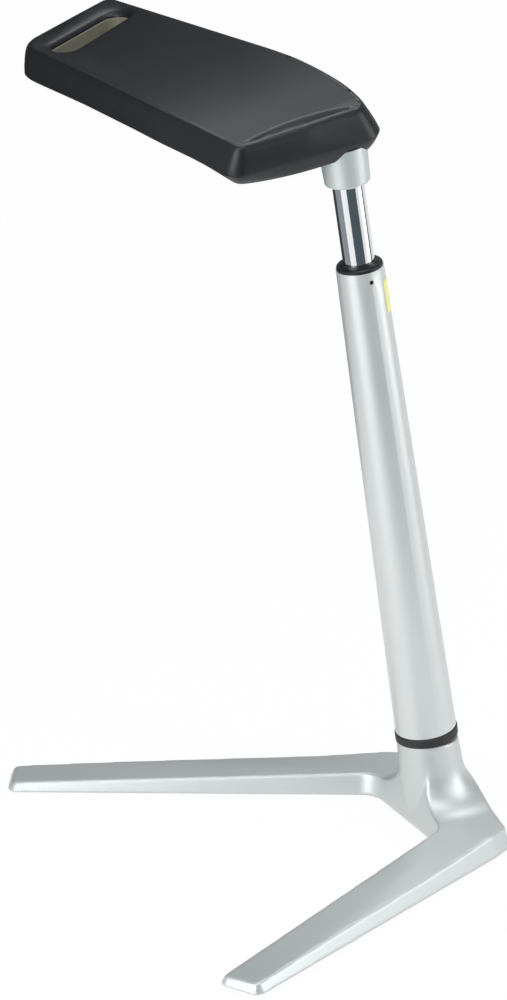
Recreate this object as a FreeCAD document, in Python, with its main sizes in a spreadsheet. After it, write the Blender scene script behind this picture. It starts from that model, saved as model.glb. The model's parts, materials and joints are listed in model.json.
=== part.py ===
# Perch stool: a cast V foot, a leaning column with a gas lift, and a seat carried off its centre.
# Millimetres and degrees. +Z is up and the floor is z = 0.
# The origin is the middle of the heel glide on the floor. The V opens towards -Y.
# Pieces of the column are drawn upright, with z measured along the column from the floor,
# and then laid over by the lean. Pieces of the seat are also turned about the column.
import FreeCAD
import Part
import math
import os
import re
import Sketcher
from FreeCAD import Placement, Rotation, Vector

# Driving sizes
SIZES = {
    # V foot
    "leg_half_angle": 28.2,
    "leg_reach": 525.0,
    "leg_root": 181.0,
    "vee_point_y": 122.0,
    "under_gap": 4.0,
    "root_top": 25.0,
    "tip_top": 14.0,
    "root_low_width": 58.0,
    "tip_low_width": 45.0,
    "side_slope": 0.21,
    "tip_round": 9.0,
    "heel_back_y": 15.5,
    "heel_corner_x": 97.0,
    "heel_corner_y": -2.0,
    "heel_round": 12.0,
    "heel_back_round": 230.0,
    "crotch_y": -58.0,
    "crotch_half_width": 63.7,
    "crotch_round": 9.0,
    # Hub
    "hub_top": 84.0,
    "hub_dia": 55.6,
    "hub_flare_dia": 61.0,
    "flare_level": 22.0,
    "flare_dia": 210.0,
    "flare_round": 33.0,
    "sleeve_bore": 40.0,
    "sleeve_seat": 38.0,
    "bolt_room_dia": 26.0,
    # Glides
    "glide_dia": 20.0,
    "glide_stem_dia": 8.0,
    "glide_stem_length": 6.0,
    "glide_from_tip": 25.0,
    "glide_sink": 1.0,
    # Column stance
    "column_lean": 7.3,
    "column_foot_y": -25.0,
    # Flexible mount
    "sleeve_length": 42.0,
    "sleeve_wall": 2.0,
    "flex_gap": 1.3,
    "flex_pivot": 60.0,
    "bush_length": 32.0,
    "spigot_dia": 20.0,
    "spigot_low": 36.0,
    "ring_height": 10.0,
    "ring_dia": 56.6,
    "ring_round": 1.6,
    "ring_gap": 2.0,
    "washer_dia": 20.4,
    "washer_height": 4.0,
    "bolt_dia": 10.0,
    "bolt_head_dia": 14.0,
    "bolt_head_height": 8.0,
    "bolt_grip": 26.0,
    # Column tube
    "tube_length": 448.5,
    "tube_foot_dia": 55.0,
    "tube_top_dia": 42.2,
    "tube_wall": 3.0,
    "plug_height": 20.0,
    "guide_dia": 36.0,
    "guide_length": 80.0,
    "guide_flange_dia": 40.6,
    "guide_flange_height": 3.4,
    "guide_collar_dia": 34.0,
    "guide_collar_height": 2.2,
    "grub_dia": 4.0,
    "grub_length": 2.4,
    "grub_drop": 9.0,
    "sticker_height": 30.0,
    "sticker_drop": 12.5,
    "sticker_thickness": 0.3,
    "sticker_sweep": 110.0,
    # Gas lift
    "chrome_dia": 28.0,
    "chrome_wall": 1.5,
    "chrome_length": 310.0,
    "chrome_head": 28.0,
    "chrome_shown": 79.0,
    "boss_grip": 18.5,
    "gland_height": 20.0,
    "rod_dia": 10.0,
    "rod_sink": 12.0,
    "rod_length": 398.0,
    "piston_height": 15.0,
    "running_gap": 0.05,
    "bearing_dia": 28.0,
    "bearing_height": 4.0,
    "race_height": 2.0,
    "clip_dia": 18.0,
    "clip_height": 1.6,
    "button_dia": 6.0,
    "button_length": 31.0,
    "button_rise": 5.5,
    # Seat stance
    "seat_turn": 9.0,
    "seat_thickness": 34.0,
    "lip_drop": 14.0,
    "seat_top_over_boss": 83.4,
    "drop_start": 81.0,
    "drop_round": 900.0,
    # Seat outline, from the column axis
    "lip_near_x": 10.0,
    "lip_far_x": 19.0,
    "lip_near_y": -117.0,
    "lip_far_y": 27.0,
    "waist_x": -105.0,
    "waist_near_y": -123.5,
    "waist_far_y": 35.5,
    "grip_near_x": -344.5,
    "grip_near_y": -108.5,
    "grip_far_x": -386.0,
    "grip_far_y": 19.5,
    "lip_corner_round": 15.0,
    "grip_far_round": 15.0,
    "grip_near_round": 32.0,
    "waist_round": 380.0,
    # Carry grip
    "slot_x": -322.7,
    "slot_y": -43.1,
    "slot_turn": 18.5,
    "slot_length": 100.0,
    "slot_width": 31.0,
    "liner_wall": 2.5,
    "liner_drop": 2.6,
    # Seat board
    "board_inset": 15.0,
    "board_thickness": 9.0,
    "block_low_x": -126.0,
    "block_high_x": -17.0,
    "block_low_y": -76.0,
    "block_high_y": 8.0,
    # Seat plate and its screws
    "plate_thickness": 4.0,
    "plate_below_lip": 1.2,
    "plate_edge": 4.0,
    "plate_front_x": -15.0,
    "screw_dia": 6.0,
    "screw_head_dia": 11.0,
    "screw_head_height": 3.5,
    "screw_length": 12.0,
    "screw_inset": 14.0,
    "screw_far_inset": 28.0,
    "screw_lip_inset": 25.0,
    "screw_hole_gap": 0.3,
    "insert_dia": 9.0,
    "insert_length": 10.0,
    # Boss
    "boss_dia": 40.0,
    "boss_top_dia": 43.0,
    "boss_rim_round": 2.5,
    "boss_top_gap": 0.5,
    # Under cover
    "cover_below_plate": 3.5,
    "cover_lip_near_x": -12.0,
    "cover_lip_far_x": 6.0,
    "cover_near_y": -84.0,
    "cover_far_y": 16.0,
    "cover_back_x": -150.0,
    "cover_lip_spread": 6.0,
    "cover_far_spread": 5.0,
    "cover_near_spread": 20.0,
    "cover_back_spread": 36.0,
    "cover_wall": 2.0,
    "cover_boss_gap": 1.0,
    "cover_screw_gap": 1.0,
    "cover_lip_overlap": 4.0,
    # Release lever
    "lever_pivot_x": -30.0,
    "lever_width": 10.0,
    "lever_thickness": 4.5,
    "lever_eye_dia": 9.0,
    "lever_nose": 5.0,
    "lever_bend_x": -46.0,
    "lever_end_x": -128.0,
    "lever_end_drop": 20.0,
    "lever_gap": 0.6,
    "lever_pin_dia": 4.0,
    "ear_thickness": 3.0,
    "ear_length": 14.0,
    "paddle_length": 46.0,
    "paddle_width": 30.0,
    "paddle_thickness": 8.0,
}

document = FreeCAD.newDocument("perch_stool")
sheet = document.addObject("Spreadsheet::Sheet", "Sizes")
for row, (alias, value) in enumerate(SIZES.items(), start=1):
    sheet.set(f"A{row}", alias)
    sheet.set(f"B{row}", str(value))
    sheet.setAlias(f"B{row}", alias)
document.recompute()


def size(alias):
    """Return one driving size as the sheet holds it."""
    return float(sheet.get(alias))


def tied(text):
    """Turn a formula in plain size names into one that reads the sheet."""
    def with_sheet(word):
        return "Sizes." + word.group(0) if word.group(0) in SIZES else word.group(0)
    return re.sub(r"[a-z][a-z_]+", with_sheet, text)


# Levels along the column, written once as formulas of the sizes
RING_TOP = "hub_top + ring_height"
TUBE_TOP = f"{RING_TOP} + tube_length"
BOSS_LOW = f"{TUBE_TOP} + chrome_shown"
CHROME_TOP = f"{BOSS_LOW} + boss_grip"
CHROME_LOW = f"{CHROME_TOP} - chrome_length"
PLUG_TOP = f"{RING_TOP} + plug_height"
RACE_LOW = f"{PLUG_TOP} + bearing_height + running_gap"
CLIP_LOW = f"{RACE_LOW} + race_height"
ROD_LOW = f"{PLUG_TOP} - rod_sink"
ROD_TOP = f"{ROD_LOW} + rod_length"
SEAT_TOP = f"{BOSS_LOW} + seat_top_over_boss"
SEAT_LOW = f"{SEAT_TOP} - seat_thickness"
PLATE_TOP = f"{SEAT_LOW} - lip_drop - plate_below_lip"
PLATE_LOW = f"{PLATE_TOP} - plate_thickness"
TUBE_SLOPE = "(tube_foot_dia - tube_top_dia) / 2 / tube_length"
BUTTON_TOP = f"{CHROME_TOP} + button_rise"
LEVER_PIVOT_LEVEL = f"{BUTTON_TOP} - 1"


def level(formula):
    """Work out a formula of the sizes through the sheet."""
    probe = document.getObject("Probe")
    if probe is None:
        probe = document.addObject("App::FeaturePython", "Probe")
        probe.addProperty("App::PropertyFloat", "Level")
    probe.setExpression("Level", tied(formula))
    probe.recompute()
    return probe.Level


# Stances
COLUMN = Placement(
    Vector(0, size("column_foot_y"), 0),
    Rotation(Vector(1, 0, 0), size("column_lean")),
)
SEAT = COLUMN.multiply(Placement(Vector(0, 0, 0), Rotation(Vector(0, 0, 1), size("seat_turn"))))

finished = []


def keep(piece, node, placement=None):
    """Name a finished piece, put it in its stance and list it for writing."""
    piece.Label = node
    if placement is not None:
        piece.Placement = placement
    finished.append(piece)
    return piece


def plane(body, role):
    """Find one of a body's own origin planes."""
    return next(feature for feature in body.Origin.OriginFeatures if feature.Role == role)


def outline(body, name, role, corners, lift=None):
    """Draw a closed straight-sided outline whose corners are formulas of the sizes."""
    sketch = body.newObject("Sketcher::SketchObject", name)
    sketch.AttachmentSupport = [(plane(body, role), "")]
    sketch.MapMode = "FlatFace"
    if lift is not None:
        sketch.setExpression("AttachmentOffset.Base.z", tied(lift))
    count = len(corners)
    points = [Vector(level(across), level(along), 0) for across, along in corners]
    for index, point in enumerate(points):
        sketch.addGeometry(Part.LineSegment(point, points[(index + 1) % count]))
    for index in range(count):
        sketch.addConstraint(Sketcher.Constraint("Coincident", index, 2, (index + 1) % count, 1))
    for index, (across, along) in enumerate(corners):
        tie_point(sketch, index, "DistanceX", points[index].x, across)
        tie_point(sketch, index, "DistanceY", points[index].y, along)
    return sketch


def tie_point(sketch, geometry, kind, value, formula):
    """Tie one coordinate of a line's start point to a formula."""
    axis = -2 if kind == "DistanceX" else -1
    if formula == "0":
        sketch.addConstraint(Sketcher.Constraint("PointOnObject", geometry, 1, axis))
        return
    number = sketch.addConstraint(Sketcher.Constraint(kind, -1, 1, geometry, 1, value))
    sketch.setExpression(f"Constraints[{number}]", tied(formula))


def turned(node, profile, sweep=None):
    """Turn a half section, given as radius and level, about the upright axis."""
    body = document.addObject("PartDesign::Body", "Body_" + node)
    sketch = outline(body, "Section_" + node, "XZ_Plane", profile)
    turn = body.newObject("PartDesign::Revolution", "Turn_" + node)
    turn.Profile = sketch
    turn.ReferenceAxis = (sketch, ["V_Axis"])
    turn.Angle = 360.0
    if sweep is not None:
        turn.Midplane = True
        turn.setExpression("Angle", tied(sweep))
    document.recompute()
    return body


def raised(node, corners, low, high, role="XY_Plane"):
    """Raise a closed outline between two levels."""
    body = document.addObject("PartDesign::Body", "Body_" + node)
    sketch = outline(body, "Outline_" + node, role, corners, low)
    pad = body.newObject("PartDesign::Pad", "Pad_" + node)
    pad.Profile = sketch
    pad.setExpression("Length", tied(f"({high}) - ({low})"))
    document.recompute()
    return body


def tapered(node, low_corners, low, high_corners, high, role="XY_Plane"):
    """Join two outlines at two levels with straight sides."""
    body = document.addObject("PartDesign::Body", "Body_" + node)
    first = outline(body, "Low_" + node, role, low_corners, low)
    second = outline(body, "High_" + node, role, high_corners, high)
    loft = body.newObject("PartDesign::AdditiveLoft", "Loft_" + node)
    loft.Profile = first
    loft.Sections = [second]
    loft.Ruled = True
    document.recompute()
    return body


def rounded(body, chosen, radius):
    """Round the edges of a body's last feature that pass the given test."""
    base = body.Tip
    names = [f"Edge{index}" for index, edge in enumerate(base.Shape.Edges, start=1) if chosen(edge)]
    fillet = body.newObject("PartDesign::Fillet", "Round_" + body.Name)
    fillet.Base = (base, names)
    fillet.setExpression("Radius", tied(radius))
    document.recompute()
    return body


def rod(name, radius, low, high, placement=None):
    """A plain cylinder between two levels, used as a tool or as a blank."""
    cylinder = document.addObject("Part::Cylinder", name)
    cylinder.setExpression("Radius", tied(radius))
    cylinder.setExpression("Height", tied(f"({high}) - ({low})"))
    cylinder.setExpression("Placement.Base.z", tied(low))
    document.recompute()
    if placement is not None:
        moved = placement.multiply(cylinder.Placement)
        cylinder.setExpression("Placement.Base.z", None)
        cylinder.Placement = moved
    return cylinder


def block(name, low_x, high_x, low_y, high_y, low_z, high_z):
    """A box between two corners that are formulas of the sizes."""
    box = document.addObject("Part::Box", name)
    box.setExpression("Length", tied(f"({high_x}) - ({low_x})"))
    box.setExpression("Width", tied(f"({high_y}) - ({low_y})"))
    box.setExpression("Height", tied(f"({high_z}) - ({low_z})"))
    box.setExpression("Placement.Base.x", tied(low_x))
    box.setExpression("Placement.Base.y", tied(low_y))
    box.setExpression("Placement.Base.z", tied(low_z))
    return box


def joined(name, pieces):
    """Fuse several shapes into one."""
    fuse = document.addObject("Part::MultiFuse", name)
    fuse.Shapes = pieces
    fuse.Refine = True
    document.recompute()
    return fuse


def cut(name, base, tools):
    """Cut several tools from one shape."""
    result = base
    for index, tool in enumerate(tools):
        step = document.addObject("Part::Cut", f"{name}_cut{index}")
        step.Base = result
        step.Tool = tool
        result = step
    document.recompute()
    return result


def shared(name, first, second):
    """Keep only what two shapes share."""
    common = document.addObject("Part::Common", name)
    common.Base = first
    common.Tool = second
    document.recompute()
    return common


def upright(edge):
    """True for a straight edge along z."""
    ends = [vertex.Point for vertex in edge.Vertexes]
    return len(ends) == 2 and math.hypot(ends[0].x - ends[1].x, ends[0].y - ends[1].y) < 1e-4


# V foot: two legs, the heel plate between them and the flared hub
def leg_point(side, reach, across):
    """A point of a leg's plan, from its reach along the leg and its distance outwards."""
    place_x = f"{reach} * sin(leg_half_angle) + {across} * cos(leg_half_angle)"
    place_y = f"vee_point_y - {reach} * cos(leg_half_angle) + {across} * sin(leg_half_angle)"
    return (place_x if side == "right" else f"0 - ({place_x})", place_y)


def foot_corners():
    """Low outline of the whole foot with the rounding of each corner."""
    return [
        (("0", "heel_back_y"), "heel_back_round"),
        (("0 - heel_corner_x", "heel_corner_y"), "heel_round"),
        (leg_point("left", "leg_root", "(root_low_width / 2)"), None),
        (leg_point("left", "leg_reach", "(tip_low_width / 2)"), "tip_round"),
        (leg_point("left", "leg_reach", "(0 - tip_low_width / 2)"), "tip_round"),
        (("0 - crotch_half_width", "crotch_y"), "crotch_round"),
        (("crotch_half_width", "crotch_y"), "crotch_round"),
        (leg_point("right", "leg_reach", "(0 - tip_low_width / 2)"), "tip_round"),
        (leg_point("right", "leg_reach", "(tip_low_width / 2)"), "tip_round"),
        (leg_point("right", "leg_root", "(root_low_width / 2)"), None),
        (("heel_corner_x", "heel_corner_y"), "heel_round"),
    ]


def foot_slab(name, high, slope):
    """The foot's plan raised from its underside, with sides that lean in."""
    corners = foot_corners()
    body = raised(name, [corner for corner, _ in corners], "under_gap", high)
    body.Tip.setExpression("TaperAngle", tied(f"-1 * atan({slope})"))
    document.recompute()
    for (across, along), radius in corners:
        if radius is None:
            continue
        corner_x = level(across)
        corner_y = level(along)
        rounded(body, lambda edge: len(edge.Vertexes) == 2
                and min(math.hypot(vertex.X - corner_x, vertex.Y - corner_y)
                        for vertex in edge.Vertexes) < 0.01
                and abs(edge.Vertexes[0].Z - edge.Vertexes[1].Z) > 1, radius)
    return body


def leg_top_cut(side):
    """The space above one leg's sloping top."""
    fall = math.degrees(math.atan((size("root_top") - size("tip_top")) / (size("leg_reach") - size("leg_root"))))
    heading = -90 + (1 if side == "right" else -1) * size("leg_half_angle")
    space = document.addObject("Part::Box", "over_leg_" + side)
    space.setExpression("Length", tied("leg_reach"))
    space.setExpression("Width", tied("root_low_width * 1.5"))
    space.setExpression("Height", tied("hub_top"))
    on_leg = Placement(Vector(size("leg_root"), -0.75 * size("root_low_width"), size("root_top")),
                       Rotation(Vector(0, 1, 0), fall))
    apex = Placement(Vector(0, size("vee_point_y"), 0), Rotation(Vector(0, 0, 1), heading))
    space.Placement = apex.multiply(on_leg)
    return space


def glide(node, place_x, place_y):
    """A turned glide that stands on the floor with its stem up in the foot."""
    body = turned(node, [
        ("0", "0"),
        ("glide_dia / 2 - 1", "0"),
        ("glide_dia / 2", "1"),
        ("glide_dia / 2", "under_gap + glide_sink"),
        ("glide_stem_dia / 2", "under_gap + glide_sink"),
        ("glide_stem_dia / 2", "under_gap + glide_stem_length"),
        ("0", "under_gap + glide_stem_length"),
    ])
    return keep(body, node, Placement(Vector(place_x, place_y, 0), Rotation()))


def glide_hole(name, place_x, place_y):
    """The stepped hole in the foot that a glide fills."""
    stem = rod(name + "_stem", "glide_stem_dia / 2", "0", "under_gap + glide_stem_length")
    disc = rod(name + "_disc", "glide_dia / 2", "0", "under_gap + glide_sink")
    for tool in (stem, disc):
        tool.Placement = Placement(Vector(place_x, place_y, 0), Rotation())
    return [stem, disc]


def foot():
    """The cast V foot with its hub."""
    plan = foot_slab("foot_plan", "root_top", "side_slope")
    legs = cut("legs", plan, [leg_top_cut("right"), leg_top_cut("left")])
    hub = turned("hub", [
        ("0", "under_gap * 2"),
        ("flare_dia / 2", "under_gap * 2"),
        ("flare_dia / 2", "flare_level"),
        ("hub_flare_dia / 2", "flare_level"),
        ("hub_dia / 2", "hub_top"),
        ("0", "hub_top"),
    ])
    inner = size("hub_flare_dia") / 2
    rounded(hub, lambda edge: isinstance(edge.Curve, Part.Circle)
            and abs(edge.Curve.Radius - inner) < 0.01, "flare_round")
    hub.Placement = COLUMN
    hub_mask = foot_slab("hub_mask", "hub_top", "side_slope / 2")
    neck = rod("neck_mask", "hub_flare_dia / 2", "0 - 10", "hub_top + 1", COLUMN)
    mask = joined("flare_mask", [hub_mask, neck])
    hub_trimmed = shared("hub_trimmed", hub, mask)
    floor_cut = block("floor_cut", "0 - 200", "200", "0 - 200", "200", "0 - 60", "under_gap")
    blank = joined("foot_blank", [legs, hub_trimmed])
    tools = [
        floor_cut,
        rod("sleeve_hole", "sleeve_bore / 2", "sleeve_seat", "hub_top + 10", COLUMN),
        rod("bolt_room", "bolt_room_dia / 2", "0 - 30", "sleeve_seat + 1", COLUMN),
    ]
    angle = math.radians(size("leg_half_angle"))
    reach = size("leg_reach") - size("glide_from_tip")
    glide_x = reach * math.sin(angle)
    glide_y = size("vee_point_y") - reach * math.cos(angle)
    places = {
        "heel_glide": (0.0, 0.0),
        "right_leg_glide": (glide_x, glide_y),
        "left_leg_glide": (-glide_x, glide_y),
    }
    for node, (place_x, place_y) in places.items():
        tools += glide_hole("hole_" + node, place_x, place_y)
        glide(node, place_x, place_y)
    return keep(cut("foot", blank, tools), "foot_casting")


foot()


# Flexible mount between the hub and the column
def ring_corners(radius, low, high, chamfer, bore):
    """Half section of a ring with both outer edges broken."""
    return [
        (bore, low),
        (f"{radius} - {chamfer}", low),
        (radius, f"{low} + {chamfer}"),
        (radius, f"{high} - {chamfer}"),
        (f"{radius} - {chamfer}", high),
        (bore, high),
    ]


def hollow(radius, bore, low, high):
    """Half section of a plain tube."""
    return [(bore, low), (radius, low), (radius, high), (bore, high)]


keep(turned("flex_sleeve", hollow("sleeve_bore / 2", "sleeve_bore / 2 - sleeve_wall",
                                  "sleeve_seat", "sleeve_seat + sleeve_length")),
     "flex_sleeve", COLUMN)
keep(turned("flex_bush", hollow("sleeve_bore / 2 - sleeve_wall - flex_gap", "spigot_dia / 2 + flex_gap",
                                "flex_pivot - bush_length / 2", "flex_pivot + bush_length / 2")),
     "flex_bush", COLUMN)
keep(turned("flex_ring", ring_corners("ring_dia / 2", "hub_top", RING_TOP, "ring_round",
                                      "spigot_dia / 2 + ring_gap")),
     "flex_ring", COLUMN)


# Column: spigot, bolt, tube, guide bush and small parts
def tube_bore(at):
    """Radius of the tube's tapered bore at a level."""
    return f"tube_foot_dia / 2 - tube_wall - {TUBE_SLOPE} * ({at} - ({RING_TOP}))"


def tube_skin(at):
    """Outer radius of the tube at a level."""
    return f"tube_foot_dia / 2 - {TUBE_SLOPE} * ({at} - ({RING_TOP}))"


spigot = turned("column_spigot", [
    ("bolt_dia / 2", "spigot_low"),
    ("spigot_dia / 2", "spigot_low"),
    ("spigot_dia / 2", RING_TOP),
    (tube_bore(f"({RING_TOP})"), RING_TOP),
    (tube_bore(f"({PLUG_TOP})"), PLUG_TOP),
    ("rod_dia / 2 + running_gap", PLUG_TOP),
    ("rod_dia / 2 + running_gap", f"{ROD_LOW} - 1"),
    ("0", f"{ROD_LOW} - 1"),
    ("0", "spigot_low + bolt_grip"),
    ("bolt_dia / 2", "spigot_low + bolt_grip"),
])
keep(spigot, "column_spigot", COLUMN)
keep(turned("retaining_washer", hollow("washer_dia / 2", "bolt_dia / 2",
                                       "spigot_low - washer_height", "spigot_low")),
     "retaining_washer", COLUMN)
keep(turned("retaining_bolt", [
    ("0", "spigot_low - washer_height - bolt_head_height + 4"),
    ("bolt_dia / 2 - 1", "spigot_low - washer_height - bolt_head_height + 4"),
    ("bolt_dia / 2 - 1", "spigot_low - washer_height - bolt_head_height"),
    ("bolt_head_dia / 2", "spigot_low - washer_height - bolt_head_height"),
    ("bolt_head_dia / 2", "spigot_low - washer_height"),
    ("bolt_dia / 2", "spigot_low - washer_height"),
    ("bolt_dia / 2", "spigot_low + bolt_grip"),
    ("0", "spigot_low + bolt_grip"),
]), "retaining_bolt", COLUMN)

GUIDE_LOW = f"{TUBE_TOP} - guide_length"
tube_blank = turned("tube_blank", [
    (tube_bore(f"({RING_TOP})"), RING_TOP),
    ("tube_foot_dia / 2", RING_TOP),
    ("tube_top_dia / 2", TUBE_TOP),
    ("guide_dia / 2", TUBE_TOP),
    ("guide_dia / 2", GUIDE_LOW),
    (tube_bore(f"({GUIDE_LOW})"), GUIDE_LOW),
])
grub_hole = document.addObject("Part::Cylinder", "grub_hole")
grub_hole.setExpression("Radius", tied("grub_dia / 2"))
grub_hole.setExpression("Height", tied("tube_top_dia"))
GRUB_LEVEL = level(f"{TUBE_TOP} - grub_drop")
grub_hole.Placement = Placement(Vector(0, 0, GRUB_LEVEL), Rotation(Vector(0, 1, 0), 90))
keep(cut("column_tube", tube_blank, [grub_hole]), "column_tube", COLUMN)

grub = document.addObject("Part::Cylinder", "grub")
grub.setExpression("Radius", tied("grub_dia / 2"))
grub.setExpression("Height", tied("grub_length"))
grub_start = Placement(Vector(size("guide_dia") / 2, 0, GRUB_LEVEL), Rotation(Vector(0, 1, 0), 90))
grub_key = document.addObject("Part::Prism", "grub_key")
grub_key.Polygon = 6
grub_key.setExpression("Circumradius", tied("grub_dia / 4"))
grub_key.setExpression("Height", tied("grub_length"))
grub_key.Placement = Placement(Vector((size("guide_dia") + size("grub_length")) / 2, 0, GRUB_LEVEL),
                               Rotation(Vector(0, 1, 0), 90))
grub.Placement = grub_start
keep(cut("grub_screw", grub, [grub_key]), "grub_screw", COLUMN)

keep(turned("guide_bush", [
    ("chrome_dia / 2 + running_gap", GUIDE_LOW),
    ("guide_dia / 2", GUIDE_LOW),
    ("guide_dia / 2", TUBE_TOP),
    ("guide_flange_dia / 2", TUBE_TOP),
    ("guide_flange_dia / 2", f"{TUBE_TOP} + guide_flange_height - 1"),
    ("guide_flange_dia / 2 - 1", f"{TUBE_TOP} + guide_flange_height"),
    ("guide_collar_dia / 2", f"{TUBE_TOP} + guide_flange_height"),
    ("guide_collar_dia / 2 - 1", f"{TUBE_TOP} + guide_flange_height + guide_collar_height"),
    ("chrome_dia / 2 + running_gap", f"{TUBE_TOP} + guide_flange_height + guide_collar_height"),
]), "guide_bush", COLUMN)

STICKER_HIGH = f"({TUBE_TOP} - sticker_drop)"
STICKER_LOW = f"({TUBE_TOP} - sticker_drop - sticker_height)"
sticker = turned("blank_sticker", [
    (tube_skin(STICKER_LOW), STICKER_LOW),
    (f"{tube_skin(STICKER_LOW)} + sticker_thickness", STICKER_LOW),
    (f"{tube_skin(STICKER_HIGH)} + sticker_thickness", STICKER_HIGH),
    (tube_skin(STICKER_HIGH), STICKER_HIGH),
], "sticker_sweep")
keep(sticker, "blank_sticker", COLUMN.multiply(Placement(Vector(), Rotation(Vector(0, 0, 1), 90))))

keep(turned("thrust_bearing", hollow("bearing_dia / 2", "rod_dia / 2 + 0.5",
                                     PLUG_TOP, f"{PLUG_TOP} + bearing_height")),
     "thrust_bearing", COLUMN)

# Gas lift: the rod turns on the bearing, the chrome cylinder slides on the rod
keep(turned("bearing_washer", hollow("bearing_dia / 2", "rod_dia / 2", RACE_LOW, CLIP_LOW)),
     "bearing_washer", COLUMN)
keep(turned("rod_clip", hollow("clip_dia / 2", "rod_dia / 2", CLIP_LOW, f"{CLIP_LOW} + clip_height")),
     "rod_clip", COLUMN)
keep(rod("piston_rod", "rod_dia / 2", ROD_LOW, ROD_TOP, COLUMN), "piston_rod")
keep(turned("rod_piston", ring_corners("chrome_dia / 2 - chrome_wall - running_gap", ROD_TOP,
                                       f"{ROD_TOP} + piston_height", "1", "0")),
     "rod_piston", COLUMN)
CHROME_BORE = "chrome_dia / 2 - chrome_wall"
keep(turned("gas_cylinder", [
    (CHROME_BORE, CHROME_LOW),
    ("chrome_dia / 2", CHROME_LOW),
    ("chrome_dia / 2", CHROME_TOP),
    ("button_dia / 2 + running_gap", CHROME_TOP),
    ("button_dia / 2 + running_gap", f"{CHROME_TOP} - chrome_head"),
    (CHROME_BORE, f"{CHROME_TOP} - chrome_head"),
]), "gas_cylinder", COLUMN)
keep(turned("cylinder_gland", hollow(CHROME_BORE, "rod_dia / 2 + running_gap",
                                     CHROME_LOW, f"{CHROME_LOW} + gland_height")),
     "cylinder_gland", COLUMN)
keep(turned("valve_button", ring_corners("button_dia / 2", f"{BUTTON_TOP} - button_length",
                                         BUTTON_TOP, "0.6", "0")),
     "valve_button", COLUMN)


# Seat: outline, curved slab and everything that hangs from it
def seat_outline(inset):
    """Corners of the seat's plan, drawn in by an inset."""
    return [
        (f"lip_near_x - {inset}", f"lip_near_y + {inset}"),
        (f"lip_far_x - {inset}", f"lip_far_y - {inset}"),
        ("waist_x", f"waist_far_y - {inset}"),
        (f"grip_far_x + {inset}", f"grip_far_y - {inset}"),
        (f"grip_near_x + {inset}", f"grip_near_y + {inset}"),
        ("waist_x", f"waist_near_y + {inset}"),
    ]


def seat_prism(name, inset):
    """The seat's plan raised through its whole height, with its corners rounded."""
    body = raised(name, seat_outline(inset), f"{PLATE_LOW} - 20", f"{SEAT_TOP} + 20")
    corners = [(level(x), level(y)) for x, y in seat_outline(inset)]
    radii = ["lip_corner_round", "lip_corner_round", "waist_round",
             "grip_far_round", "grip_near_round", "waist_round"]
    for (corner_x, corner_y), radius in zip(corners, radii):
        rounded(body, lambda edge: upright(edge)
                and math.hypot(edge.Vertexes[0].X - corner_x, edge.Vertexes[0].Y - corner_y) < 0.01, radius)
    return body


def seat_slab(name, low, high):
    """A wide slab that bends down towards the lip, between two depths below the seat top."""
    body = document.addObject("PartDesign::Body", "Body_" + name)
    far_x = "lip_far_x + seat_thickness"
    back_x = "grip_far_x - seat_thickness"
    run = f"({far_x} + drop_start) * lip_drop / (lip_far_x + drop_start)"
    sketch = outline(body, "Section_" + name, "XZ_Plane", [
        (back_x, f"{SEAT_TOP} - {low}"),
        ("0 - drop_start", f"{SEAT_TOP} - {low}"),
        (far_x, f"{SEAT_TOP} - {low} - {run}"),
        (far_x, f"{SEAT_TOP} - {high} - {run}"),
        ("0 - drop_start", f"{SEAT_TOP} - {high}"),
        (back_x, f"{SEAT_TOP} - {high}"),
    ])
    pad = body.newObject("PartDesign::Pad", "Pad_" + name)
    pad.Profile = sketch
    pad.Midplane = True
    pad.setExpression("Length", tied("4 * (lip_far_y - lip_near_y)"))
    document.recompute()
    bend = -size("drop_start")
    rounded(body, lambda edge: len(edge.Vertexes) == 2 and all(abs(vertex.X - bend) < 0.01
            for vertex in edge.Vertexes) and abs(edge.Vertexes[0].Z - edge.Vertexes[1].Z) < 0.01,
            "drop_round")
    return body


def stadium(name, length, width, low, high):
    """An upright slot shape with round ends, placed at the carry grip."""
    middle = block(name + "_middle", f"0 - ({width}) / 2", f"({width}) / 2",
                   f"({width} - {length}) / 2", f"({length} - {width}) / 2", low, high)
    near = rod(name + "_near", f"({width}) / 2", low, high)
    near.setExpression("Placement.Base.y", tied(f"({width} - {length}) / 2"))
    far = rod(name + "_far", f"({width}) / 2", low, high)
    far.setExpression("Placement.Base.y", tied(f"({length} - {width}) / 2"))
    shape = joined(name, [middle, near, far])
    shape.Placement = Placement(Vector(size("slot_x"), size("slot_y"), 0),
                                Rotation(Vector(0, 0, 1), size("slot_turn")))
    return shape


SEAT_UNDER = f"{PLATE_LOW} - 20"
SEAT_OVER = f"{SEAT_TOP} + 20"
LINER_TOP = f"{SEAT_TOP} - liner_drop"

# Seat board with the block that the plate bolts to
board_slab = seat_slab("board_slab", "seat_thickness", "(seat_thickness - board_thickness)")
board_plan = seat_prism("board_plan", "board_inset")
board_flat = shared("board_flat", board_slab, board_plan)
mount_block = block("mount_block", "block_low_x", "block_high_x", "block_low_y", "block_high_y",
                    PLATE_TOP, f"{SEAT_LOW} - lip_drop + board_thickness")
board_blank = joined("board_blank", [board_flat, mount_block])
slot_room = stadium("slot_room", "slot_length", "slot_width", SEAT_UNDER, SEAT_OVER)


def screw_places():
    """Middles of the four plate screws."""
    inset = size("screw_inset")
    for place_x in (size("block_low_x") + inset, size("block_high_x") - size("screw_lip_inset")):
        for place_y in (size("block_low_y") + inset, size("block_high_y") - size("screw_far_inset")):
            yield place_x, place_y


def at_screws(name, radius, low, high):
    """One shape repeated at each plate screw."""
    copies = []
    for index, (place_x, place_y) in enumerate(screw_places()):
        copy = rod(f"{name}{index}", radius, low, high)
        copy.Placement.Base = Vector(place_x, place_y, copy.Placement.Base.z)
        copies.append(copy)
    return copies


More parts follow.
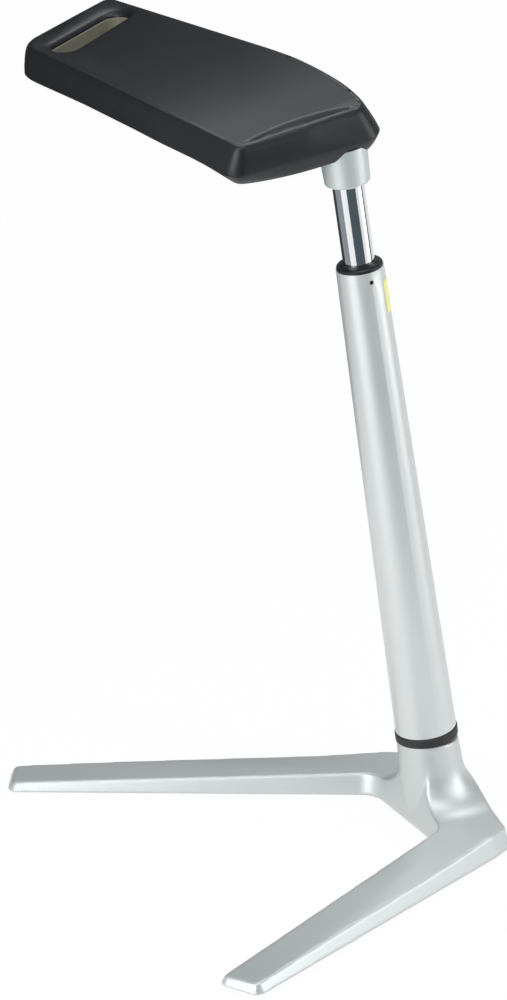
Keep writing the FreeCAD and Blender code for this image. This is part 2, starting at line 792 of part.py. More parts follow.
insert_room = at_screws("insert_room", "insert_dia / 2", PLATE_TOP, f"{PLATE_TOP} + insert_length")
keep(cut("seat_board", board_blank, [slot_room] + insert_room), "seat_board", SEAT)

# Threaded inserts in the board and the screws in them
inserts = []
for index, blank in enumerate(at_screws("insert", "insert_dia / 2", PLATE_TOP, f"{PLATE_TOP} + insert_length")):
    bore = at_screws(f"insert_bore{index}_", "screw_dia / 2", PLATE_TOP, f"{PLATE_TOP} + insert_length")[index]
    inserts.append(cut(f"insert_ring{index}", blank, [bore]))
insert_group = document.addObject("Part::Compound", "insert_group")
insert_group.Links = inserts
keep(insert_group, "board_inserts", SEAT)

screws = []
shanks = at_screws("screw_shank", "screw_dia / 2", PLATE_LOW, f"{PLATE_LOW} + screw_length")
heads = at_screws("screw_head", "screw_head_dia / 2", f"{PLATE_LOW} - screw_head_height", PLATE_LOW)
keys = at_screws("screw_key", "screw_dia / 3", f"{PLATE_LOW} - screw_head_height",
                 f"{PLATE_LOW} - screw_head_height / 3")
for index, (shank, head, key) in enumerate(zip(shanks, heads, keys)):
    whole = joined(f"screw_whole{index}", [shank, head])
    screws.append(cut(f"screw{index}", whole, [key]))
screw_group = document.addObject("Part::Compound", "screw_group")
screw_group.Links = screws
keep(screw_group, "plate_screws", SEAT)

# Foam pad around the board
pad_slab = seat_slab("pad_slab", "seat_thickness", "0")
pad_plan = seat_prism("pad_plan", "0")
pad_blank = shared("pad_blank", pad_slab, pad_plan)
board_room = shared("board_room", board_slab, board_plan)
keep(cut("seat_pad", pad_blank, [board_room, mount_block, slot_room]), "seat_pad", SEAT)

# Liner of the carry grip
liner_blank = stadium("liner_blank", "slot_length", "slot_width", SEAT_LOW, LINER_TOP)
liner_room = stadium("liner_room", "slot_length - 2 * liner_wall", "slot_width - 2 * liner_wall",
                     SEAT_UNDER, SEAT_OVER)
keep(cut("grip_liner", liner_blank, [liner_room]), "grip_liner", SEAT)

# Seat plate with the lever's ears
ear_low = f"{LEVER_PIVOT_LEVEL} - lever_pin_dia"
plate_flat = block("plate_flat", "block_low_x - plate_edge", "plate_front_x",
                   "block_low_y - plate_edge", "block_high_y + plate_edge", PLATE_LOW, PLATE_TOP)
ears = []
for side in ("near", "far"):
    inner = "lever_width / 2 + lever_gap"
    outer = f"{inner} + ear_thickness"
    low_y, high_y = (inner, outer) if side == "far" else (f"0 - ({outer})", f"0 - ({inner})")
    ears.append(block(f"ear_{side}", "lever_pivot_x - ear_length / 2", "lever_pivot_x + ear_length / 2",
                      low_y, high_y, ear_low, PLATE_LOW))
plate_blank = joined("plate_blank", [plate_flat] + ears)


def cross_rod(name, radius, length):
    """A rod across the seat through the lever's pivot."""
    piece = document.addObject("Part::Cylinder", name)
    piece.setExpression("Radius", tied(radius))
    piece.setExpression("Height", tied(length))
    half = level(length) / 2
    piece.Placement = Placement(Vector(size("lever_pivot_x"), half, level(LEVER_PIVOT_LEVEL)),
                                Rotation(Vector(1, 0, 0), 90))
    return piece


PIN_LENGTH = "lever_width + 2 * lever_gap + 2 * ear_thickness + 2"
pin_hole = cross_rod("pin_hole", "lever_pin_dia / 2", "lever_width * 4")
screw_holes = at_screws("screw_hole", "screw_dia / 2 + screw_hole_gap", PLATE_LOW, PLATE_TOP)
keep(cut("seat_plate", plate_blank, [pin_hole] + screw_holes), "seat_plate", SEAT)
keep(cross_rod("lever_pin", "lever_pin_dia / 2", PIN_LENGTH), "lever_pin", None)
finished[-1].Placement = SEAT.multiply(finished[-1].Placement)

# Boss that grips the top of the chrome cylinder
BOSS_TOP = f"{SEAT_LOW} - lip_drop - boss_top_gap"
boss_blank = turned("boss_blank", [
    ("chrome_dia / 2", BOSS_LOW),
    ("boss_dia / 2", BOSS_LOW),
    ("boss_top_dia / 2", BOSS_TOP),
    ("chrome_dia / 2", BOSS_TOP),
])
rim = size("boss_dia") / 2
rounded(boss_blank, lambda edge: isinstance(edge.Curve, Part.Circle)
        and abs(edge.Curve.Radius - rim) < 0.01, "boss_rim_round")
lever_way = block("lever_way", "0 - boss_top_dia", "0",
                  "0 - lever_width / 2 - ear_thickness - 1", "lever_width / 2 + ear_thickness + 1",
                  f"{CHROME_TOP} + 1", f"{PLATE_LOW} + 1")
plate_room = block("plate_room", "0 - boss_top_dia", "plate_front_x",
                   "0 - boss_top_dia", "boss_top_dia", PLATE_LOW, SEAT_TOP)
keep(cut("boss", boss_blank, [lever_way, plate_room]), "seat_boss", SEAT)


# Under cover: a shallow tray that closes the underside round the boss
def cover_corners(spread, inset):
    """Plan of the under cover, spread out on every side by a share and drawn in by an inset."""
    lip_near = f"cover_lip_near_x + cover_lip_spread * {spread} - {inset}"
    lip_far = f"cover_lip_far_x + cover_lip_spread * {spread} - {inset}"
    back = f"cover_back_x - cover_back_spread * {spread} + {inset}"
    near = f"cover_near_y - cover_near_spread * {spread} + {inset}"
    far = f"cover_far_y + cover_far_spread * {spread} - {inset}"
    return [(lip_near, near), (lip_far, far), (back, far), (back, near)]


cover_low = f"{PLATE_LOW} - cover_below_plate"
cover_high = f"{SEAT_LOW} + cover_lip_overlap"
cover_outer = tapered("cover_outer", cover_corners("0", "0"), cover_low, cover_corners("1", "0"), cover_high)
cover_inner = tapered("cover_inner", cover_corners("0", "cover_wall"), f"{cover_low} + cover_wall",
                      cover_corners("1", "cover_wall"), f"{cover_high} + 1")
cover_lid = seat_slab("cover_lid", "seat_thickness", "0")
boss_room = rod("boss_room", "boss_top_dia / 2 + cover_boss_gap", f"{cover_low} - 5", f"{SEAT_TOP}")
lever_door = block("lever_door", "cover_back_x - cover_back_spread", "0 - boss_dia / 2",
                   "0 - lever_width", "lever_width", f"{cover_low} - 5", f"{SEAT_LOW} - lip_drop")
screw_room = at_screws("screw_room", "screw_head_dia / 2 + cover_screw_gap", f"{cover_low} - 1", PLATE_LOW)
keep(cut("under_cover", cover_outer, [cover_inner, cover_lid, boss_room, lever_door] + screw_room),
     "under_cover", SEAT)

# Release lever and its grip
LEVER_SIDE = [
    ("lever_nose", BUTTON_TOP),
    ("lever_nose", f"{BUTTON_TOP} + lever_thickness"),
    ("lever_bend_x", f"{BUTTON_TOP} + lever_thickness"),
    ("lever_end_x", f"{BUTTON_TOP} + lever_thickness - lever_end_drop"),
    ("lever_end_x", f"{BUTTON_TOP} - lever_end_drop"),
    ("lever_bend_x", BUTTON_TOP),
]
lever_bar = raised("lever_bar", LEVER_SIDE, "0 - lever_width / 2", "lever_width / 2", "XZ_Plane")
lever_body = joined("lever_body", [lever_bar, cross_rod("lever_eye", "lever_eye_dia / 2", "lever_width")])
keep(cut("lever", lever_body, [cross_rod("lever_hole", "lever_pin_dia / 2 + running_gap",
                                         "lever_width * 3")]), "release_lever", SEAT)
paddle = raised("paddle_blank", [
    ("lever_end_x + 12", f"{BUTTON_TOP} + lever_thickness / 2 - lever_end_drop - paddle_thickness / 2"),
    ("lever_end_x + 12", f"{BUTTON_TOP} + lever_thickness / 2 - lever_end_drop + paddle_thickness / 2"),
    ("lever_end_x - paddle_length",
     f"{BUTTON_TOP} + lever_thickness / 2 - lever_end_drop + paddle_thickness / 2 - 3"),
    ("lever_end_x - paddle_length",
     f"{BUTTON_TOP} + lever_thickness / 2 - lever_end_drop - paddle_thickness / 2 - 3"),
], "0 - paddle_width / 2", "paddle_width / 2", "XZ_Plane")
rounded(paddle, lambda edge: abs(edge.Length - size("paddle_width")) > 1 and len(edge.Vertexes) == 2
        and abs(edge.Vertexes[0].X - edge.Vertexes[1].X) < 0.01, "paddle_thickness / 3")
lever_room = raised("lever_room", LEVER_SIDE, "0 - lever_width / 2", "lever_width / 2", "XZ_Plane")
keep(cut("grip", paddle, [lever_room]), "lever_grip", SEAT)

# Check and write
document.recompute()
for item in document.Objects:
    if "Invalid" in item.State or "Error" in item.State:
        raise RuntimeError(f"{item.Name} failed: {item.State}")
os.makedirs("parts", exist_ok=True)
for piece in finished:
    if piece.Shape.isNull() or not piece.Shape.isValid():
        raise RuntimeError(f"{piece.Label} has no valid shape")
    piece.Shape.exportStep(f"parts/{piece.Label}.step")
    box = piece.Shape.BoundBox
    print(f"{piece.Label:18s} solids {len(piece.Shape.Solids)} volume {piece.Shape.Volume / 1000:9.2f} cm3 "
          f"x {box.XMin:.1f}..{box.XMax:.1f} y {box.YMin:.1f}..{box.YMax:.1f} z {box.ZMin:.1f}..{box.ZMax:.1f}")
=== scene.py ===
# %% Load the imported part
import json
import math

import bpy
from mathutils import Matrix, Vector


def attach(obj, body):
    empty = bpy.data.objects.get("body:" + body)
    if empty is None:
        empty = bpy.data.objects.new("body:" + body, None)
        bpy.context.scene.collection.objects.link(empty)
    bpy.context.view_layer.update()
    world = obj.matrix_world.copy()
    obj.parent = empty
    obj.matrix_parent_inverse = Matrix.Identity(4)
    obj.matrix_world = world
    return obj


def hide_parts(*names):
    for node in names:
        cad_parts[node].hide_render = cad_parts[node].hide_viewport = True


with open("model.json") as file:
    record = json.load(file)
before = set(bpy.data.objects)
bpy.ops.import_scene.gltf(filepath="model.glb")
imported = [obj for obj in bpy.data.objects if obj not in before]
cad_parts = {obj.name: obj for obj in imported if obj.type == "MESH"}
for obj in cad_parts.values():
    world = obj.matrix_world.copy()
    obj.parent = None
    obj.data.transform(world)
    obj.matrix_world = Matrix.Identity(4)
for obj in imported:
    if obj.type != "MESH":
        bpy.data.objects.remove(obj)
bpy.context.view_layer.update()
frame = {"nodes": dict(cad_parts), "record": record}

# %% [markdown]
# The stool leans: its column is tipped 7.3 degrees, and the seat is turned a further 9 degrees about
# the column. It is far easier to model the seat flat and square, and to lay it over at the end.
# So each seat piece is drawn in millimetres in the seat's own frame, with x towards the lip, y across
# and z along the column, and one matrix carries it to its place in metres.

# %% The seat's frame
COLUMN_FOOT = Vector((0, -0.025, 0))
LEAN = math.radians(7.3)
SEAT_TURN = math.radians(9.0)
MM = 0.001

column_frame = Matrix.Translation(COLUMN_FOOT) @ Matrix.Rotation(LEAN, 4, "X")
seat_frame = column_frame @ Matrix.Rotation(SEAT_TURN, 4, "Z")
print("seat axis", [round(part, 3) for part in seat_frame.col[2].xyz])

# %% [markdown]
# Blender's operators act on all that is selected, and on the piece that is active. A hand sees what is
# lit up on the screen, but a script doesn't, so a slip would move the wrong piece. These helpers
# therefore deselect everything first, and then pick the one piece that is worked on.

# %% Helpers that pick and open a piece
def only(obj):
    """Select one object and make it active."""
    bpy.ops.object.select_all(action="DESELECT")
    obj.select_set(True)
    bpy.context.view_layer.objects.active = obj


def edit(obj):
    """Open a piece in edit mode with nothing selected."""
    only(obj)
    bpy.ops.object.mode_set(mode="EDIT")
    bpy.ops.mesh.select_mode(type="FACE")
    bpy.ops.mesh.select_all(action="DESELECT")


def leave():
    """Go back to object mode."""
    bpy.ops.object.mode_set(mode="OBJECT")


def pick_faces(obj, wanted):
    """Select the faces that pass a test, from inside edit mode."""
    leave()
    for face in obj.data.polygons:
        face.select = wanted(face)
    bpy.ops.object.mode_set(mode="EDIT")


def outward(obj):
    """Point all faces of a closed piece outwards."""
    edit(obj)
    bpy.ops.mesh.select_all(action="SELECT")
    bpy.ops.mesh.normals_make_consistent(inside=False)
    leave()


print("nodes loaded", len(frame["nodes"]))

# %% [markdown]
# A moulded or cast outline is a run of straight or slow sides joined by round corners. It could be
# pushed about point by point, but a list of corners with a radius each is what a drawing gives, and
# it is easy to change. The outline starts as a circle with as many points as are needed, and each
# point is set on the rounded corner that it belongs to. The circle is then filled, given a short
# upright edge, and raised in steps that each draw in a little.

# %% Rounded outlines and the plates raised from them
START_RADIUS = 100


def rounded_outline(corners):
    """Points of a closed outline from (x, y, radius, points) corners."""
    points = []
    count = len(corners)
    for index, (x, y, radius, steps) in enumerate(corners):
        here = Vector((x, y))
        before = (Vector(corners[index - 1][:2]) - here).normalized()
        after = (Vector(corners[(index + 1) % count][:2]) - here).normalized()
        half = before.angle(after) / 2
        run = radius / math.tan(half)
        middle = here + (before + after).normalized() * (radius / math.sin(half))
        start = here + before * run - middle
        turn = math.pi - 2 * half
        side = 1 if before.cross(after) < 0 else -1
        for step in range(steps):
            spin = Matrix.Rotation(side * turn * step / (steps - 1), 2)
            points.append(middle + spin @ start)
    return points


def flat_outline(name, points, level):
    """A filled flat outline, made from a circle with its points moved."""
    bpy.ops.object.select_all(action="DESELECT")
    bpy.ops.mesh.primitive_circle_add(vertices=len(points), radius=START_RADIUS, fill_type="NGON")
    obj = bpy.context.object
    obj.name = name
    obj.data.name = name
    for vertex, point in zip(obj.data.vertices, points):
        vertex.co = (point.x, point.y, level)
    return obj


def raised_plate(name, corners, level, edge, side_steps):
    """A plate with a short upright edge and sides that rise and draw in by (rise, draw) steps."""
    plate = flat_outline(name, rounded_outline(corners), level)
    edit(plate)
    bpy.ops.mesh.select_all(action="SELECT")
    bpy.ops.mesh.extrude_region_move(TRANSFORM_OT_translate={"value": (0, 0, edge)})
    for rise, draw in side_steps:
        bpy.ops.mesh.inset(thickness=draw, depth=rise)
    leave()
    outward(plate)
    return plate


# %% [markdown]
# The seat is integral-skin foam: black polyurethane moulded in one go round its board, with a dense
# satin skin. Its sides flare out downwards to a soft ridge, its top edge is a small radius, and the
# top dips towards the lip. It could be carved from a subdivided cube, but then the plan outline
# would drift. Here the plan is drawn once at the ridge, raised in steps to the top, and then drawn in
# under the ridge in the same way.

# %% Seat foam: plan and sides
RIDGE = 679.0
RIDGE_EDGE = 0.2
SEAT_TOP = 704.9
SEAT_PLAN = [
    (9.0, -119.5, 15, 14),
    (27.0, 29.0, 20, 14),
    (-18.0, 38.5, 150, 6),
    (-105.0, 37.5, 420, 8),
    (-389.0, 20.5, 15, 14),
    (-374.0, -30.0, 250, 6),
    (-349.0, -110.5, 36, 16),
    (-240.0, -114.5, 500, 6),
    (-105.0, -124.0, 420, 8),
]
# How far each step rises and how far it draws in
SIDE_STEPS = [
    (6.0, 0.7), (7.0, 1.4), (6.4, 1.7), (2.6, 1.1), (1.8, 1.3), (1.2, 1.5), (0.7, 1.8), (0.2, 1.6),
]
# How far each step under the ridge falls and how far it draws in
UNDER_STEPS = [(1.4, 1.0), (2.0, 1.8), (2.4, 2.8), (2.0, 3.1)]
UNDER_DEPTH = sum(fall for fall, draw in UNDER_STEPS)
FLAT_ENOUGH = 0.9


def is_underside(face):
    """Whether a face is the flat one at the ridge's level."""
    return face.center.z < RIDGE + RIDGE_EDGE / 2 and abs(face.normal.z) > FLAT_ENOUGH


seat_foam = raised_plate("seat_foam", SEAT_PLAN, RIDGE, RIDGE_EDGE, SIDE_STEPS)
edit(seat_foam)
pick_faces(seat_foam, is_underside)
for fall, draw in UNDER_STEPS:
    bpy.ops.mesh.inset(thickness=draw, depth=fall)
leave()
print("seat foam", len(seat_foam.data.polygons), "faces", [round(v, 1) for v in seat_foam.dimensions])

# %% [markdown]
# The seat isn't straight: it runs level from the grip, then bends down 14 mm to the lip. A bend needs
# points to bend at, and the top has none between its edges. So the solid is cut by a row of planes
# along its length, closer together near the lip, and by another row across it.

# %% Seat foam: cuts to bend it at
ALONG = 0
ACROSS = 1


def evenly(start, gap, count):
    """A row of evenly spaced places."""
    return [start + gap * step for step in range(count)]


def slice_up(obj, axis, places):
    """Cut a piece by planes square to an axis, so that it can be bent there."""
    edit(obj)
    for place_at in places:
        bpy.ops.mesh.select_all(action="SELECT")
        point = [0, 0, 0]
        point[axis] = place_at
        normal = [0, 0, 0]
        normal[axis] = 1
        bpy.ops.mesh.bisect(plane_co=point, plane_no=normal)
    leave()


slice_up(seat_foam, ALONG, evenly(-150, 9, 15) + evenly(-14, 1.25, 22))
slice_up(seat_foam, ACROSS, evenly(-120, 4, 39))
print("seat foam cut", len(seat_foam.data.vertices), "points")

# %% [markdown]
# Now the points can move. The top is a little crowned across. The lip's upper edge is pulled
# forwards, so that its face stands steeper, and its far corner is drawn back and in. Under the lip
# the foam sags. A sculpting brush could do this by eye, but a simple rule for each move does it
# evenly. Each rule works from how far a point is along a run, from none of it to all of it.

# %% Seat foam: bend, crown, lip and underside
LIP_DROP = 14.0
BEND_START = -150.0
BEND_RUN = 164.0
MIDDLE_Y = -44.0
HALF_WIDTH = 78.0
CROWN = 1.6
CROWN_START = -300.0
CROWN_BAND = 0.3
LIP_PULL = 6.5
LIP_PULL_RUN = 34.0
CORNER_START = -110.0
CORNER_RUN = 125.0
CORNER_REACH = 73.0
FAR_CORNER_BACK = 12.0
FAR_CORNER_IN = 5.0
NEAR_CORNER_FORWARD = 2.0
NEAR_CORNER_IN = 4.0
BELLY = 9.0
BELLY_SIDE = -116.0
BELLY_WIDTH = 158.0
BELLY_START = -70.0
BELLY_RUN = 60.0
BELLY_FULLNESS = 0.6


def share_along(value, start, run):
    """How much of a run is behind a value, from 0 at its start to 1 at its end."""
    return min(1.0, max(0.0, (value - start) / run))


def lip_drop(x):
    """How far the seat has bent down at a place along its length."""
    return LIP_DROP * (max(0.0, x - BEND_START) / BEND_RUN) ** 2


def belly(x, y):
    """How far the underside sags at a place near the lip."""
    across = share_along(y, BELLY_SIDE, BELLY_WIDTH)
    ramp = share_along(x, BELLY_START, BELLY_RUN)
    return BELLY * math.sin(math.pi * across) ** BELLY_FULLNESS * ramp * ramp * (3.0 - 2.0 * ramp)


for vertex in seat_foam.data.vertices:
    x, y, z = vertex.co
    height = max(0.0, z - RIDGE) / (SEAT_TOP - RIDGE)
    if z > SEAT_TOP - CROWN_BAND and x > CROWN_START:
        across = (y - MIDDLE_Y) / HALF_WIDTH
        vertex.co.z -= CROWN * across * across
    near_lip = share_along(x, -LIP_PULL_RUN, LIP_PULL_RUN)
    toward_lip = share_along(x, CORNER_START, CORNER_RUN)
    far_corner = share_along(y, MIDDLE_Y, CORNER_REACH) * height * toward_lip * toward_lip
    near_corner = share_along(y, MIDDLE_Y, -CORNER_REACH) * height * toward_lip * toward_lip
    pull = LIP_PULL * height * near_lip * near_lip
    vertex.co.x += pull - FAR_CORNER_BACK * far_corner + NEAR_CORNER_FORWARD * near_corner
    vertex.co.y += NEAR_CORNER_IN * near_corner - FAR_CORNER_IN * far_corner
    vertex.co.z -= lip_drop(x)
    vertex.co.z -= belly(x, y) * max(0.0, RIDGE - z) / UNDER_DEPTH
print("seat foam bent, lowest point", round(min(vertex.co.z for vertex in seat_foam.data.vertices), 1))

# %% [markdown]
# Just behind the lip the foam has a shallow scoop, shaped like a long thin lens: an arc on the side
# of the sitter and nearly straight along the lip. It could be cut with a tool of that shape, but the
# cut would have sharp edges. Lowering the points inside the lens by a sine leaves a soft rim.

# %% Seat foam: scoop behind the lip
SCOOP_START = -101.0
SCOOP_END = 9.0
SCOOP_DEPTH = 4.4
SCOOP_START_SHARE = 0.5
SCOOP_LIP_SIDE = 7.0
SCOOP_SKEW = 5.0
SCOOP_LEAST = 2.5
SCOOP_BOW = 8.0
SCOOP_END_FADE = 3.0
SCOOP_BIAS = 2.0
SCOOP_BAND = 4.0


def scoop_at(x, y):
    """Depth of the scoop at a place on the top."""
    if not SCOOP_START < y < SCOOP_END:
        return 0.0
    share = (y - SCOOP_START) / (SCOOP_END - SCOOP_START)
    bow = math.sin(math.pi * share)
    straight = SCOOP_LIP_SIDE + SCOOP_SKEW * share
    arc = straight - SCOOP_LEAST - SCOOP_BOW * bow
    if not arc < x < straight:
        return 0.0
    across = (x - arc) / (straight - arc)
    deepening = SCOOP_START_SHARE + (1 - SCOOP_START_SHARE) * share
    fade = min(1.0, SCOOP_END_FADE * bow)
    return SCOOP_DEPTH * deepening * fade * math.sin(math.pi * across ** SCOOP_BIAS)


lowered = 0
for vertex in seat_foam.data.vertices:
    x, y, z = vertex.co
    if z > SEAT_TOP - lip_drop(x) - SCOOP_BAND:
        depth = scoop_at(x, y)
        vertex.co.z -= depth
        lowered += depth > 0
print("scoop", lowered, "points lowered")

# %% [markdown]
# The carry grip is a slot right through the foam, skewed like the end of the seat, with a soft rim.
# The slot could be cut plain and its edge bevelled, but a bevel goes astray on the many small faces
# of the top. So the rim's round is put in the cutting tool: a slot-shaped plug that widens towards
# its top. One Boolean then gives the hole and its rounded edge together.

# %% Carry grip: slot-shaped plugs
SLOT_MIDDLE = Vector((-322.7, -43.1))
SLOT_TURN = math.radians(18.5)
END_ROUND = 0.98
END_POINTS = 14


def slot_outline(length, width):
    """Outline of the grip slot, with round ends, turned to its place."""
    half_width = width / 2
    half_length = length / 2
    turns = [
        (half_width, -half_length),
        (half_width, half_length),
        (-half_width, half_length),
        (-half_width, -half_length),
    ]
    spin = Matrix.Rotation(SLOT_TURN, 2)
    corners = [(x, y, half_width * END_ROUND, END_POINTS) for x, y in turns]
    return [SLOT_MIDDLE + spin @ point for point in rounded_outline(corners)]


def slot_plug(name, length, width, low, high, rim=()):
    """A plug in the shape of the slot, with an optional flared rim on top."""
    plug = flat_outline(name, slot_outline(length, width), low)
    edit(plug)
    bpy.ops.mesh.select_all(action="SELECT")
    bpy.ops.mesh.extrude_region_move(TRANSFORM_OT_translate={"value": (0, 0, high - low)})
    for rise, spread in rim:
        bpy.ops.mesh.extrude_region_move(TRANSFORM_OT_translate={"value": (0, 0, rise)})
        bpy.ops.transform.resize(
            value=((width + 2 * spread) / width, (length + 2 * spread) / length, 1),
            center_override=(SLOT_MIDDLE.x, SLOT_MIDDLE.y, high),
            orient_matrix=Matrix.Rotation(SLOT_TURN, 3, "Z"),
            orient_type="GLOBAL")
    leave()
    outward(plug)
    return plug


# %% [markdown]
# With the plug made, the slot is cut, and the foam is whole. It is laid over into its place, shaded
# smooth, and given to the seat's body, where it stands in for the plain solid of the same foam.

# %% Seat foam: carry grip and place
SLOT_LENGTH = 97.0
SLOT_WIDTH = 28.0
PLUG_LOW = 640.0
# How far each step of the rim rises and how far it spreads
RIM_STEPS = [(1.8, 0.3), (1.8, 1.0), (1.5, 1.9), (1.1, 3.1), (0.6, 4.6), (0.4, 6.6), (1.6, 10.0)]
RIM_DEPTH = sum(rise for rise, spread in RIM_STEPS[:-1])


def apply_modifier(obj, kind, **settings):
    """Add a modifier, set it up and apply it."""
    only(obj)
    modifier = obj.modifiers.new(kind.title(), kind)
    for name, value in settings.items():
        setattr(modifier, name, value)
    bpy.ops.object.modifier_apply(modifier=modifier.name)


def cut_with(obj, tool, operation="DIFFERENCE"):
    """Cut a piece with a tool, and take the tool away."""
    apply_modifier(obj, "BOOLEAN", operation=operation, object=tool, solver="EXACT")
    bpy.data.objects.remove(tool)


def place(obj, matrix):
    """Carry a piece drawn in millimetres to its place, with its own transform cleared."""
    obj.matrix_world = matrix @ Matrix.Scale(MM, 4)
    only(obj)
    bpy.ops.object.transform_apply(location=True, rotation=True, scale=True)


def smooth(obj, degrees):
    """Shade a piece smooth, keeping edges sharper than the given angle."""
    only(obj)
    bpy.ops.object.shade_smooth_by_angle(angle=math.radians(degrees))


grip_plug = slot_plug("grip_plug", SLOT_LENGTH, SLOT_WIDTH, PLUG_LOW, SEAT_TOP - RIM_DEPTH, RIM_STEPS)
cut_with(seat_foam, grip_plug)
place(seat_foam, seat_frame)
smooth(seat_foam, degrees=50)
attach(seat_foam, "seat")
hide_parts("seat_pad")
print("seat foam with its grip", len(seat_foam.data.polygons), "faces")

# %% [markdown]
# A plastic liner clips into the slot from below. It ends where the foam's rim starts to round, so
# only its wall shows. A thin wall could be extruded and thickened, but its wall is even all round,
# so a plug of the slot's shape with a narrower plug taken out of it does the same in one cut.

# %% Liner of the carry grip
LINER_LENGTH = 100.0
LINER_WIDTH = 31.0
LINER_WALL = 2.5
LINER_LOW = 671.2
LINER_BELOW_RIM = 0.2
LINER_BEVEL = 0.6
LINER_HIGH = SEAT_TOP - RIM_DEPTH - LINER_BELOW_RIM
BORE_PAST = 5

slot_liner = slot_plug("slot_liner", LINER_LENGTH, LINER_WIDTH, LINER_LOW, LINER_HIGH)
liner_bore = slot_plug("liner_bore", LINER_LENGTH - 2 * LINER_WALL, LINER_WIDTH - 2 * LINER_WALL,
                       LINER_LOW - BORE_PAST, LINER_HIGH + BORE_PAST)
cut_with(slot_liner, liner_bore)
apply_modifier(slot_liner, "BEVEL", width=LINER_BEVEL, segments=3, limit_method="ANGLE",
               angle_limit=math.radians(60))
place(slot_liner, seat_frame)
smooth(slot_liner, degrees=40)
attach(slot_liner, "seat")
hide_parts("grip_liner")
print("liner", len(slot_liner.data.polygons), "faces")

# %% [markdown]
# The foot is one aluminium casting: two tapering legs with soft top edges, joined under a hub whose
# sides sweep out into the legs. It is built as a pattern maker would: a flat pattern with leaning
# sides for the legs, a turned hub with a wide concave sweep, and a plain neck. The two legs mirror
# each other, so one side of the plan is drawn, and the other is its mirror image.

# %% Foot casting: plan
LEG_ANGLE = math.radians(28.2)
VEE_POINT = 122.0
LEG_ROOT = 181.0
LEG_REACH = 525.0
ROOT_HALF_WIDTH = 29.0
TIP_HALF_WIDTH = 22.5


def leg_point(reach, across):
    """A point of the right leg's plan, from its reach and its distance outwards."""
    x = reach * math.sin(LEG_ANGLE) + across * math.cos(LEG_ANGLE)
    y = VEE_POINT - reach * math.cos(LEG_ANGLE) + across * math.sin(LEG_ANGLE)
    return x, y


right_side = [
    (97.0, -2.0, 13, 8),
    (*leg_point(LEG_ROOT, ROOT_HALF_WIDTH), 40, 4),
    (*leg_point(LEG_REACH, TIP_HALF_WIDTH), 9, 8),
    (*leg_point(LEG_REACH, -TIP_HALF_WIDTH), 9, 8),
    (63.7, -58.0, 24, 12),
]
left_side = [(-x, y, radius, points) for x, y, radius, points in right_side]
foot_plan = [(0.0, 15.5, 230, 12)] + left_side + right_side[::-1]
print("foot plan", len(foot_plan), "corners")

# %% [markdown]
# Each leg gets thinner towards its tip, and its top is two shallow slopes that meet in a crest, which
# runs slantwise along the leg. The crest is soft, as on any casting. Lowering a corner here and there
# would leave flat facets, so the plate is cut into small squares first. Each point of its top is then
# lowered by the slope's own rule, and each point of its sides in proportion.

# %% Foot casting: legs and heel plate
UNDER_GAP = 4.0
FOOT_EDGE = 1.2
ROOT_TOP = 25.0
TIP_TOP = 14.0
SIDE_LEAN = 4.3
OUTER_FALL = 0.06
INNER_FALL = 0.03
CREST_SOFTNESS = 2.0
CREST_LIMIT = 60.0
CREST_REACH = 216.0
CREST_ACROSS = -8.0
CREST_SHIFT = 24.0
CREST_RUN = 186.0
SLOPES_START = 185.0
SLOPES_RUN = 60.0
SIDE_HEIGHT = ROOT_TOP - UNDER_GAP - FOOT_EDGE


def soft_step(distance):
    """A distance, up to a limit, or nothing where it is negative, with a soft turn between."""
    return CREST_SOFTNESS * math.log1p(math.exp(min(distance, CREST_LIMIT) / CREST_SOFTNESS))


def leg_top(x, y):
    """How far the top has fallen at a place on a leg, with its soft slanting crest."""
    reach = abs(x) * math.sin(LEG_ANGLE) + (VEE_POINT - y) * math.cos(LEG_ANGLE)
    across = abs(x) * math.cos(LEG_ANGLE) - (VEE_POINT - y) * math.sin(LEG_ANGLE)
    fall = max(0.0, reach - LEG_ROOT) * (ROOT_TOP - TIP_TOP) / (LEG_REACH - LEG_ROOT)
    crest = CREST_ACROSS + (reach - CREST_REACH) * CREST_SHIFT / CREST_RUN
    slopes = OUTER_FALL * soft_step(across - crest) + INNER_FALL * soft_step(crest - across)
    return fall + slopes * share_along(reach, SLOPES_START, SLOPES_RUN)


foot_cast = raised_plate("foot_cast", foot_plan, UNDER_GAP, FOOT_EDGE, [(SIDE_HEIGHT, SIDE_LEAN)])
slice_up(foot_cast, ALONG, evenly(-264, 8, 67))
slice_up(foot_cast, ACROSS, evenly(-344, 8, 45))
for vertex in foot_cast.data.vertices:
    share_up = max(0.0, vertex.co.z - UNDER_GAP - FOOT_EDGE) / SIDE_HEIGHT
    vertex.co.z -= share_up * leg_top(vertex.co.x, vertex.co.y)
print("legs and heel plate", len(foot_cast.data.polygons), "faces")

# %% [markdown]
# The hub's sweep is a quarter round turned about the column. Turned upright it meets the heel plate
# evenly all round, and sliding each level back by the lean makes it follow the column. Where the
# sweep would hang over the plate's edge, a prism of the foot's own plan with leaning sides trims it.

# %% Foot casting: hub and neck
HUB_TOP = 83.3
HUB_RADIUS = 27.8
HUB_FOOT = HUB_RADIUS + 1.2
HUB_LOW = 8.0
NECK_BELLY = 0.2
NECK_LEVEL = 50.0
SWEEP = 36.0
SWEEP_POINTS = 24
SWEEP_SINK = 0.25
PRISM_LIFT = 1
PRISM_EDGE = 0.2
PRISM_HEIGHT = 90
PRISM_LEAN = 18.4
ROUND_SIDES = 128
LEAN_SLIDE = math.tan(LEAN)


